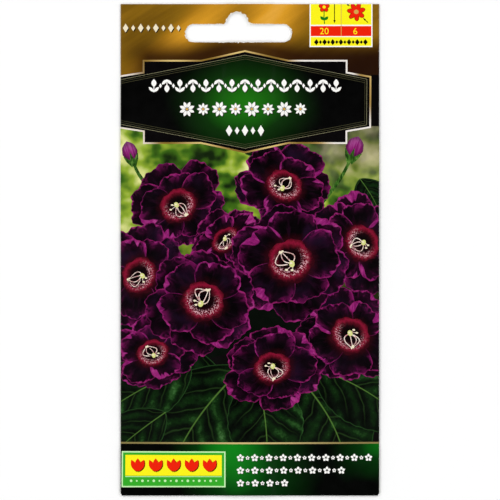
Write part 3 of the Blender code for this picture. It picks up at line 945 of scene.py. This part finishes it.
infoBlock = {
    "left": 18.4, "right": 37.8, "top": 76.4, "bottom": 62.7, "border": 0.36, "divider": 28.15,
    "cellBottom": 69.6, "barTop": 69.2, "barBottom": 66.1, "stripTop": 65.8,
    "stalkFlower": (22.9, 75.1), "openFlower": (32.8, 73.6), "line": 0.26,
    "numbers": (("20", 21.6), ("6", 31.9)), "numberBase": 66.65, "numberHeight": 2.0,
}


def drawInfoBlock():
    b = infoBlock
    inLeft, inRight = b["left"] + b["border"], b["right"] - b["border"]
    block(b["left"], b["bottom"], b["right"], b["top"], "white")
    block(inLeft, b["cellBottom"], inRight, b["top"], "yellow")
    block(inLeft, b["barBottom"], inRight, b["barTop"], "red")
    block(inLeft, b["bottom"] + b["border"], inRight, b["stripTop"], "yellow")
    block(b["divider"] - 0.1, b["barBottom"], b["divider"] + 0.1, b["top"], "paleGold")

    def flower(x, y, count, start, reach, length, width, steps):
        for size, inkName in ((0.12, "shadow"), (0.0, "red")):
            for k in range(count):
                a = start + 2 * math.pi * k / count
                cx, cy = x + reach * math.cos(a), y + reach * math.sin(a)
                draw(ellipse(cx, cy, length + size, width + size, steps, a), inkName)

    x, y = b["stalkFlower"]
    draw(strip([(x + 0.1, 69.9), (x - 0.05, 72.0), (x, 74.0)], 0.28), "darkGreen")
    for turn in (0.75, 2.35):
        draw(petalShape(1.7, 0.95, turn, x, 71.0), "darkGreen")
    flower(x, y, 5, math.pi / 2, 0.98, 0.66, 0.56, 12)
    draw(ellipse(x, y, 0.5, 0.5, 12), "yellow")
    block(25.97, 70.9, 26.21, b["top"], "black")
    draw([(25.72, 71.0), (26.09, 70.1), (26.46, 71.0)], "black")
    x, y = b["openFlower"]
    flower(x, y, 7, 0.3, 1.65, 1.15, 0.66, 14)
    draw(ellipse(x, y, 0.75, 0.7, 14), "paleGold")
    for shaft, head in (([(35.0, 71.6), (36.4, 70.3)], [(35.0, 71.6), (35.75, 71.35), (35.3, 70.9)]),
                        ([(30.7, 75.4), (29.5, 76.4)], [(30.6, 75.5), (29.9, 75.6), (30.4, 76.2)])):
        draw(strip(shaft, b["line"]), "black")
        draw(head, "black")
    for text, left in b["numbers"]:
        drawAll(numberShapes(text, b["numberHeight"])[0], "yellow", left, b["numberBase"])
    ornamentRow([diamond(1.45, 1.9)], (20.5, 64.25), 13, 1.26, "black", 0.0, 0.35)


# The bottom strip, with a plate of five plain tulips over a row of dots

plate = {"left": -39.55, "right": -7.5, "top": -62.15, "bottom": -73.35, "outline": 0.42, "border": 1.15,
         "fieldBottom": -69.75, "ruleTop": -59.34, "ruleBottom": -59.88}


def drawBottomStrip():
    p = plate
    block(-bleed, foldY - 3.0, bleed, -59.4, "strip")
    block(-bleed, p["ruleBottom"], bleed, p["ruleTop"], "rule")
    o, e, fieldBottom = p["outline"], p["border"], p["fieldBottom"]
    block(p["left"], p["bottom"], p["right"], p["top"], "lime")
    block(p["left"] + o, p["bottom"] + o, p["right"] - o, p["top"] - o, "green")
    block(p["left"] + e, fieldBottom, p["right"] - e, p["top"] - e, "yellow")
    block(p["left"] + e, fieldBottom - 0.42, p["right"] - e, fieldBottom - 0.2, "lime")
    tulip = [petalShape(4.2, 2.0, math.pi / 2, 0.0, -2.0)]
    tulip += [petalShape(4.0, 1.7, math.pi / 2 + side * 0.42, -0.35 * side, -1.9) for side in (1, -1)]
    ornamentRow(tulip, (-34.6, -66.55), 5, 5.55, "red", 0.0, 0.0, 0.22)
    ornamentRow([ellipse(0, 0, 0.42, 0.42, 10)], (-36.6, -71.35), 16, 1.75, "lime", 0.0, 0.3)


# The back: a year of numbered months, round signs, numbered boxes and lines of small marks

backPrint = {
    "margin": 5.0, "lineY": 60.5, "line": 0.6,
    "monthY": 44.0, "monthWide": 5.4, "monthHigh": 7.6, "monthDrop": 9.0, "monthGap": 0.5,
    "sowing": (0, 1, 2), "flowering": (5, 6, 7, 8), "barHigh": 1.5,
    "signY": 16.0, "signPitch": 11.0, "signRadius": 4.4, "signLine": 0.5,
    "boxY": 38.0, "boxDrop": 17.0, "boxWide": 26.0, "boxHigh": 13.0, "boxLine": 0.4,
    "markPitch": 2.2, "markDrop": 4.6, "markTurn": 2.4,
}


def drawBack():
    # the sheet turns over at each side, so left and right are swapped there
    b = backPrint
    mark = [petalShape(1.5, 0.55, 0.3, -0.7, -0.2, 3)]

    def marks(x, y, count):
        ornamentRow(mark, (x, y), count, b["markPitch"], "olive", b["markTurn"])

    for left, right in ((bleed, rightEnd + 1.0), (-leftEnd - 1.0, -bleed)):
        block(left, foldY - 0.5, right, topY + 1.0, "back")
        block(left, b["lineY"], right, b["lineY"] + b["line"], "olive")
    block(-bleed, flapEndY - 1.0, bleed, foldY - 1.2, "notch")
    ornamentRow([diamond(1.1, 2.0)], (-27.0, flapEndY + 6.0), 28, 2.0, "olive", 0.0, 0.4)
    # right panel: months with bars for sowing and flowering
    left, wide = backStart + b["margin"], b["monthWide"]
    for column in range(6):
        for row in range(2):
            month = column + 6 * row
            x, y = left + column * wide, b["monthY"] - row * b["monthDrop"]
            right = x + wide - b["monthGap"]
            block(x, y, right, y + b["monthHigh"], "white")
            outlines, width = numberShapes(str(month + 1), 2.0)
            drawAll(outlines, "black", x + (wide - b["monthGap"] - width) / 2, y + 4.7)
            for base, inkName, months in ((2.4, "darkGreen", b["sowing"]), (0.5, "red", b["flowering"])):
                shown = inkName if month in months else "back"
                block(x + 0.4, y + base, right - 0.4, y + base + b["barHigh"], shown)
    # three round signs: a potted sprig, a drop of water and a sun
    potX, dropX, sunX = (left + 5.5 + k * b["signPitch"] for k in range(3))
    for x in (potX, dropX, sunX):
        draw(ellipse(x, b["signY"], b["signRadius"], b["signRadius"], 36), "darkGreen")
        inner = b["signRadius"] - b["signLine"]
        draw(ellipse(x, b["signY"], inner, inner, 36), "white")
    draw([(potX - 1.5, 14.6), (potX + 1.5, 14.6), (potX + 1.1, 12.9), (potX - 1.1, 12.9)], "red")
    drawAll(sprig(3.8), "darkGreen", potX, 16.6)
    draw(ellipse(dropX, 15.4, 1.5, 1.5, 14), "darkGreen")
    draw([(dropX - 1.3, 16.1), (dropX + 1.3, 16.1), (dropX, 18.9)], "darkGreen")
    drawAll(rosette(2.4, 8, 0.8), "paleGold", sunX, b["signY"])
    draw(ellipse(sunX, b["signY"], 1.3, 1.3, 18), "red")
    ornamentRow(sprig(3.4), (left, 4.6), 8, 4.5, "olive", math.pi)
    for k in range(9):
        reach = 33.0 - 9.0 * ((k * 5) % 4 == 3)
        marks(left, -3.0 - b["markDrop"] * k, int(reach / b["markPitch"]))
    # left panel: three numbered boxes over lines of marks
    right = -backStart - b["margin"]
    left, line = right - b["boxWide"], b["boxLine"]
    for k in range(3):
        y = b["boxY"] - b["boxDrop"] * k
        block(left, y, right, y + b["boxHigh"], "olive")
        block(left + line, y + line, right - line, y + b["boxHigh"] - line, "white")
        drawAll(numberShapes(str(k + 1), 3.4)[0], "darkGreen", right - 24.0, y + 7.8)
        for x, up, count in ((right - 18.0, 9.6, 8), (right - 18.0, 6.2, 8), (right - 23.6, 2.8, 10)):
            marks(x, y + up, count)
    for k in range(8):
        marks(right - 25.0, -6.0 - b["markDrop"] * k, 11 - (k % 3 == 2) * 4)


# The hanging slot, punched through every ply

slot = {"centreX": -3.5, "width": 32.8, "height": 5.6, "down": 11.8, "archX": -0.4, "archRadius": 3.4,
        "archRise": 0.3, "fillet": 0.9, "ragged": 0.07, "tornEdge": 0.13, "tornRagged": 0.10}


def arc(cx, cy, radius, start, end, steps):
    angles = np.radians(np.linspace(start, end, steps + 1))
    return np.stack([cx + radius * np.cos(angles), cy + radius * np.sin(angles)], axis=1)


def level(start, end, y, count):
    return np.stack([np.linspace(start, end, count)[1:-1], np.full(count - 2, y)], axis=1)


def slotOutline(grow, ragged, seed):
    s = slot
    endRadius, fillet = s["height"] / 2, s["fillet"]
    lower = topY - s["down"]
    upper = lower + s["height"]
    middle = (lower + upper) / 2
    left, right = (s["centreX"] + side * (s["width"] / 2 - endRadius) for side in (-1, 1))
    archX, archY = s["centreX"] + s["archX"], upper + s["archRise"]
    drop = upper + fillet - archY
    side = math.sqrt((s["archRadius"] + fillet) ** 2 - drop**2)
    lean = math.degrees(math.atan2(drop, side))
    outline = np.concatenate([
        arc(right, middle, endRadius, -90, 90, 30), level(right, archX + side, upper, 40),
        arc(archX + side, upper + fillet, fillet, 270, 180 + lean, 6),
        arc(archX, archY, s["archRadius"], lean, 180 - lean, 34),
        arc(archX - side, upper + fillet, fillet, -lean, -90, 6), level(archX - side, left, upper, 40),
        arc(left, middle, endRadius, 90, 270, 30), level(left, right, lower, 110),
    ])
    # the punch tears the paper a little
    dice = random.Random(seed)
    rough = np.array([dice.gauss(0.0, 1.0) for _ in outline])
    rough = grow + (rough + np.roll(rough, 1) * 0.5) * ragged
    way = outline - (s["centreX"], middle)
    way /= np.linalg.norm(way, axis=1, keepdims=True)
    return outline + way * rough[:, None]


def cutSlot():
    draw(slotOutline(slot["tornEdge"], slot["tornRagged"], 5), "raw")
    outline = slotOutline(0.0, slot["ragged"], 4)
    draw(outline, None)
    edge = halfWidth - foldRadius(topY)
    for side in (1, -1):
        s = backStart + (edge - side * outline[:, 0]) * flat["frontEdge"] / edge
        draw(np.stack([side * s, outline[:, 1]], axis=1), None)


# The sheet: cut into triangles, folded, and given its thickness

def flapReach():
    # half the width of the flap on the flat sheet
    return (halfWidth - packet["flapInset"]) * flat["frontEdge"] / (halfWidth - foldRadius(foldY))


def creaseLines():
    # lines along the folds, which no triangle crosses
    turns = flat["frontEdge"] + np.linspace(0.0, 1.0, flat["foldColumns"] + 1) * flat["sideFold"]
    heights = np.append(np.arange(foldY, topY - 0.5, flat["lattice"]), topY)
    lines = [[(s, t) for t in heights] for s in (*turns, *-turns)]
    across = np.linspace(-flapReach(), flapReach(), 41)
    bends = foldY - np.linspace(0.0, 1.0, 13) * flat["flapFold"]
    return lines + [[(s, t) for s in across] for t in bends]


def sheetOutline():
    flapEnd = flapReach()
    tip = flapEnd - packet["flapTaper"]
    return [(-leftEnd, topY), (-leftEnd, foldY), (-flapEnd, foldY), (-flapEnd, flapStartY), (-tip, flapEndY),
            (tip, flapEndY), (flapEnd, flapStartY), (flapEnd, foldY), (rightEnd, foldY), (rightEnd, topY)]


def latticePoints(coarse=1):
    # enough points everywhere for the sheet to bend smoothly
    front = np.arange(-flat["frontEdge"], flat["frontEdge"] + 0.01, flat["lattice"] * coarse)
    back = np.arange(backStart, max(leftEnd, rightEnd), 3.0)
    edge = halfWidth - foldRadius(0.0)
    scale = flat["frontEdge"] / edge
    rises = [-(backStart + (edge + x) * scale) for x in np.linspace(*packet["leftRise"], 6)]
    steps = np.linspace(packet["frontRise"][0], packet["frontRise"][3], 16)
    columns = np.concatenate([front, back, -back, rises, steps])
    rows = np.arange(foldY, topY + 0.01, flat["lattice"] * coarse)
    rows = np.concatenate([rows, np.linspace(flapEdgeY, flapEdgeY + 4.0, 8), [topY]])
    flapRows = np.arange(flapEndY + 1.0, flapStartY, 3.0)
    flapPoints = [(s, t) for s in np.arange(-38.0, 38.1, 2.0) for t in flapRows]
    return [(s, t) for s in columns for t in rows] + flapPoints


def within(points, outline):
    # which of the points lie inside the outline
    inside = np.zeros(len(points), bool)
    x, y = points[:, 0], points[:, 1]
    for (ax, ay), (bx, by) in zip(outline, np.roll(outline, -1, axis=0)):
        if ay != by:
            crosses = (ay > y) != (by > y)
            inside ^= crosses & (x < (bx - ax) * (y - ay) / (by - ay) + ax)
    return inside


def boxed(points, outline):
    return np.nonzero(((points >= outline.min(0)) & (points <= outline.max(0))).all(1))[0]


def triangulate(loops, lines, points):
    # triangles whose corners take in every loop, line and point
    corners, edges = [], []
    for path in [[*loop, loop[0]] for loop in loops] + lines:
        first = len(corners)
        corners += [Vector((float(x), float(y))) for x, y in path]
        edges += [(first + i, first + i + 1) for i in range(len(path) - 1)]
    corners += [Vector((float(x), float(y))) for x, y in points]
    made, _, pieces, *_ = delaunay_2d_cdt(corners, edges, [], 0, 1e-4, False)
    return np.array([point[:] for point in made]), np.array([piece[:] for piece in pieces if len(piece) == 3])


def used(points, triangles):
    numbers, index = np.unique(triangles, return_inverse=True)
    return points[numbers], index.reshape(-1, 3)


def makeSheet():
    # one arrangement of everything drawn, then each triangle takes the shape on top of it
    loose, owners = (np.array(column) for column in zip(*loosePoints))
    hidden = np.zeros(len(loose), bool)
    for number, shape in enumerate(shapes):
        near = boxed(loose, shape["outline"])
        near = near[owners[near] < number]
        hidden[near[within(loose[near], shape["outline"])]] = True
    outlines = [shape["outline"] for shape in shapes]
    points, triangles = triangulate(outlines, creaseLines(), [*loose[~hidden], *latticePoints()])
    middles = points[triangles].mean(1)
    tops = np.full(len(triangles), -1)
    for number, shape in enumerate(shapes):
        near = boxed(middles, shape["outline"])
        near = near[(tops[near] >= 0) | (number == 0)]
        found = near[within(middles[near], shape["outline"])]
        tops[found] = number if shape["ink"] else -1
    kept = tops >= 0
    points, triangles = used(points, triangles[kept])
    print("sheet drawn:", len(shapes), "shapes,", len(triangles), "triangles")
    return points, triangles, tops[kept]


def borderOf(triangles):
    ends = np.concatenate([triangles[:, [0, 1]], triangles[:, [1, 2]], triangles[:, [2, 0]]]).tolist()
    known = set(map(tuple, ends))
    return [(a, b) for a, b in ends if (b, a) not in known]


def innerSkin(places, border):
    # the unprinted side has the same border and far fewer triangles
    following = dict(border)
    loops = []
    while following:
        first, ahead = following.popitem()
        ring = [first]
        while ahead != first:
            ring.append(ahead)
            ahead = following.pop(ahead)
        loops.append(places[ring])
    points, triangles = triangulate(loops, creaseLines(), latticePoints(2))
    middles = points[triangles].mean(1)
    inside = np.zeros(len(triangles), bool)
    for loop in loops:
        inside ^= within(middles, loop)
    return used(points, triangles[inside])


def bakeMap(places, innerPlaces, faces):
    # the printed side at the bottom of the square, the plain side over it, the cut edges in a line at the top
    low, high = places.min(0) - 1.0, places.max(0) + 1.0
    outer = (places - low) / (high - low) * (1.0, 0.68)
    inner = (innerPlaces - low) / (high - low) * (1.0, 0.27) + (0.0, 0.70)
    uv = np.concatenate([outer, inner])[faces]
    cutEdge = (faces < len(places)).any(1) & (faces >= len(places)).any(1)
    share = np.linspace(0.0, 0.999, cutEdge.sum())[:, None]
    uv[cutEdge, :, 0] = share + np.array([0.0, 0.0008, 0.0004])
    uv[cutEdge, :, 1] = np.array([0.98, 0.98, 0.995])
    return uv


def settle(mesh, node):
    piece = bpy.data.objects.new(mesh.name, mesh)
    bpy.context.scene.collection.objects.link(piece)
    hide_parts(node)
    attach(piece, "root")


def buildPacket():
    places, triangles, tops = makeSheet()
    border = borderOf(triangles)
    innerPlaces, innerTriangles = innerSkin(places, border)
    count = len(places)
    facing = np.concatenate([outward(*places.T), -outward(*innerPlaces.T)])
    vertices = np.concatenate([folded(*places.T), folded(*innerPlaces.T)])
    vertices[count:] += facing[count:] * packet["paper"]
    nearest = KDTree(len(innerPlaces))
    for i, spot in enumerate(innerPlaces):
        nearest.insert((*spot, 0.0), i)
    nearest.balance()
    partner = {a: nearest.find((*places[a], 0.0))[1] + count for a, b in border}
    rims = np.array([rim for a, b in border for rim in ((b, a, partner[a]), (b, partner[a], partner[b]))])
    faces = np.concatenate([triangles, innerTriangles[:, ::-1] + count, rims])
    raw = inkNames.index("raw")
    inkOf = np.array([inkNames.index(shape["ink"]) if shape["ink"] else raw for shape in shapes])
    slots = np.concatenate([inkOf[tops], np.full(len(faces) - len(triangles), raw)])
    mesh = bpy.data.meshes.new("printed_packet")
    mesh.from_pydata((vertices * mm).tolist(), [], faces.tolist())
    for name in inkNames:
        mesh.materials.append(inks[name])
    mesh.polygons.foreach_set("material_index", slots.astype(np.int32))
    maps = {"motifPlace": np.zeros((len(faces), 3, 2)), "motifTone": np.zeros((len(faces), 3, 2)),
            "OFBake": bakeMap(places, innerPlaces, faces)}
    for number in np.unique(tops):
        if shapes[number]["place"]:
            mine = np.nonzero(tops == number)[0]
            points = places[triangles[mine]].reshape(-1, 2)
            maps["motifPlace"][mine] = shapes[number]["place"](points).reshape(-1, 3, 2)
            maps["motifTone"][mine] = shapes[number]["tone"](points).reshape(-1, 3, 2)
    for name, values in maps.items():
        mesh.uv_layers.new(name=name).uv.foreach_set("vector", values.reshape(-1))
    mesh.shade_smooth()
    # the print's own normals, and flat ones on the cut edges
    corners = facing[faces]
    a, b, c = (vertices[rims[:, i]] for i in range(3))
    square = np.cross(b - a, c - a)
    square /= np.maximum(np.linalg.norm(square, axis=1, keepdims=True), 1e-12)
    corners[-len(rims):] = square[:, None, :]
    mesh.normals_split_custom_set(corners.reshape(-1, 3).tolist())
    settle(mesh, "paper_packet")
    print("packet folded:", len(faces), "faces")


# What lies inside: a foil sachet with five pelleted seeds, and the glue that closes the packet

def newPiece(name, points, faces, material, node):
    mesh = bpy.data.meshes.new(name)
    mesh.from_pydata((np.asarray(points) * mm).tolist(), [], faces)
    mesh.materials.append(material)
    mesh.shade_smooth()
    mesh.set_sharp_from_angle(angle=math.radians(40))
    settle(mesh, node)


def boxOf(node):
    return (np.array(corner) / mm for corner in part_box(node))


sachet = {"seal": 5.0, "dome": 1.62, "foil": 0.08, "crimp": 0.05, "pitch": 1.1, "pucker": 0.05, "step": 0.25}


def foilMaterial(name):
    bench = Bench(name)
    place = bench.here()
    x, y, z = bench.split(place)
    rolled = bench.noise((x * 0.5, y * 6.0, z), 1.0, 3.0, 0.6)
    stain = bench.noise(place, 0.12, 2.0)
    shade = bench.ramp(rolled * 0.5 + stain * 0.5, (0.3, "#B9BCC0"), (0.7, "#E2E4E6"))
    return bench.finish(shade, bench.step(0.3, 0.7, rolled, 0.22, 0.36), rolled, 0.01, Metallic=0.95)


def makeSachet():
    for node, domed in (("sachet_back_foil", False), ("sachet_front_foil", True)):
        low, high = boxOf(node)
        columns, rows = (int((high[i] - low[i]) / sachet["step"]) for i in (0, 1))
        x, y = np.meshgrid(np.linspace(low[0], high[0], columns + 1), np.linspace(low[1], high[1], rows + 1))
        u, v = (np.abs(place - (low[i] + high[i]) / 2) / ((high[i] - low[i]) / 2 - sachet["seal"])
                for i, place in enumerate((x, y)))
        room = np.sqrt(np.clip(1 - u**2, 0, 1) * np.clip(1 - v**2, 0, 1))
        seal = smooth(0.98, 1.06, np.maximum(u, v))
        crimps = sachet["crimp"] * (0.5 - 0.5 * np.cos(2 * math.pi * (x + y) / sachet["pitch"])) * seal
        waves = np.sin(x * 1.9 + np.sin(y * 0.6)) * np.sin(y * 2.1)
        puckers = sachet["pucker"] * waves * np.sqrt(room) * (1 - room)
        under = low[2] + crimps + ((sachet["dome"] * room + puckers) if domed else 0.0)
        sides = [np.stack([x, y, under + up], axis=-1).reshape(-1, 3) for up in (0.0, sachet["foil"])]
        count, wide = x.size, columns + 1
        faces = []
        for r in range(rows):
            for c in range(columns):
                a, b = r * wide + c, r * wide + c + 1
                faces.append((a, a + wide, b + wide, b))
                faces.append((a + count, b + count, b + wide + count, a + wide + count))
        numbers = np.arange(count).reshape(rows + 1, wide)
        rim = [*numbers[0], *numbers[1:, -1], *numbers[-1, -2::-1], *numbers[-2:0:-1, 0]]
        for a, b in zip(rim, rim[1:] + rim[:1]):
            faces.append((int(a), int(b), int(b) + count, int(a) + count))
        foil = foilMaterial(node + "_metal")
        newPiece("crimped_" + node, np.concatenate(sides), faces, foil, node)
    print("sachet sealed")


pellet = {"cuts": 4, "lumps": 0.06, "grit": 0.02, "count": 5}


def pelletMaterial():
    bench = Bench("pellet_clay")
    place = bench.here()
    clay = bench.noise(place, 1.4, 4.0, 0.65)
    specks = bench.noise(place, 9.0, 2.0, 0.7)
    shade = bench.ramp(clay, (0.3, "#8C6A45"), (0.55, "#B4926A"), (0.8, "#D3BA96"))
    shade = bench.mix(bench.step(0.60, 0.72, specks) * 0.7, shade, "#5A422A")
    return bench.finish(shade, bench.step(0.3, 0.7, clay, 0.72, 0.92), specks, 0.04)


def makeSeeds():
    clay = pelletMaterial()
    for number in range(1, pellet["count"] + 1):
        node = "seed_" + str(number)
        low, high = boxOf(node)
        centre, radius = (low + high) / 2, (high[2] - low[2]) / 2
        ball = bmesh.new()
        bmesh.ops.create_icosphere(ball, subdivisions=pellet["cuts"], radius=1.0)
        points = []
        for vertex in ball.verts:
            way = vertex.co
            lump = turbulence(way * 1.6 + Vector((number * 3.7, 0, 0)), 2, False)
            grit = turbulence(way * 7.0 + Vector((0, number * 5.1, 0)), 2, True)
            size = radius * (1.0 - pellet["lumps"] * (1.0 + lump) / 2 - pellet["grit"] * grit)
            points.append(centre + np.array(way) * size)
        faces = [[vertex.index for vertex in face.verts] for face in ball.faces]
        ball.free()
        newPiece("pelleted_" + node, points, faces, clay, node)
    print("seeds coated")


# the darker pit colour below is painted shade, laid into the bubble pits of the glue
glue = {"bubbles": 0.9, "pitDepth": 0.5, "coat": 0.3, "dry": "#CDBE94", "thick": "#EFE8CF", "shadedPit": "#B09F70"}


def glueMaterial(name, seed):
    bench = Bench(name)
    place = bench.here()
    x, y, z = bench.split(place)
    drag = bench.noise((x * 0.4, y * 1.6, z + seed), 1.0, 3.0, 0.6)
    bubbles = bench.node("ShaderNodeTexVoronoi", None, {"Vector": place, "Scale": glue["bubbles"]})
    # the bubble pits are pressed into the bump and also painted darker, as painted shade
    shadedPit = bench.step(0.18, 0.06, bubbles) * glue["pitDepth"]
    shade = bench.mix(shadedPit, bench.ramp(drag, (0.3, glue["dry"]), (0.7, glue["thick"])), glue["shadedPit"])
    rough = bench.step(0.3, 0.7, drag, 0.35, 0.6)
    return bench.finish(shade, rough, drag - shadedPit, 0.03, Coat_Weight=glue["coat"])


def coverGlue():
    for number, node in enumerate(("header_glue", "seam_glue", "flap_glue")):
        slots = bpy.data.objects[node].data.materials
        slots.clear()
        slots.append(glueMaterial(node + "_film", number * 4.0))
    print("glue covered")


# Camera, light and floor

view = {"height": 0.5159, "lens": 120.0, "sensor": 36.0, "x": 0.00004, "y": -0.00004}


def makeCamera():
    lens = bpy.data.cameras.new("camera")
    lens.lens, lens.sensor_width = view["lens"], view["sensor"]
    camera = bpy.data.objects.new("camera", lens)
    camera.location = (view["x"], view["y"], view["height"])
    bpy.context.scene.collection.objects.link(camera)
    bpy.context.scene.camera = camera


studio = {
    "ring": 0.54, "ringTop": 0.78, "ringSoft": 0.17,       # light from all round, none from straight above
    "lampSize": 0.6, "reach": (0.62, 0.55, 0.95), "power": (3.8, 3.2, 3.35, 3.1),
    "floorTone": "#FFFFFF", "floorSize": 6.0, "floorDrop": 0.1,
}


def makeStudio():
    bpy.context.scene.view_settings.view_transform = "Standard"
    world = bpy.data.worlds.new("studio")
    world.use_nodes = True
    bench = Bench("studio", world.node_tree)
    height = bench.split(bench.node("ShaderNodeTexCoord"))[2]
    ring = bench.step(studio["ringTop"] + studio["ringSoft"], studio["ringTop"], height, 0.0, studio["ring"])
    background = bench.tree.nodes["Background"]
    background.inputs[0].default_value = (1.0, 1.0, 1.0, 1.0)
    bench.tree.links.new(ring.socket, background.inputs[1])
    bpy.context.scene.world = world
    for power, (side, end) in zip(studio["power"], ((-1, 1), (1, 1), (1, -1), (-1, -1))):
        lamp = bpy.data.lights.new("lamp", "AREA")
        lamp.size, lamp.energy = studio["lampSize"], power
        holder = bpy.data.objects.new("lamp", lamp)
        holder.location = np.array(studio["reach"]) * (side, end, 1)
        holder.rotation_euler = (-holder.location).to_track_quat("-Z", "Y").to_euler()
        bpy.context.scene.collection.objects.link(holder)
    bpy.ops.mesh.primitive_plane_add(size=studio["floorSize"])
    floor = bpy.context.object
    floor.name = "floor"
    floor.location.z = -studio["floorDrop"] * mm
    floor.data.materials.append(Bench("pale_floor").finish(studio["floorTone"], 0.9))


makeCamera()
makeStudio()
print("camera and studio ready")
draw(sheetOutline(), "raw")
drawPicture()
drawHeaderAndPanel()
drawInfoBlock()
drawBottomStrip()
drawOrnaments()
drawBack()
cutSlot()
buildPacket()
makeSachet()
makeSeeds()
coverGlue()
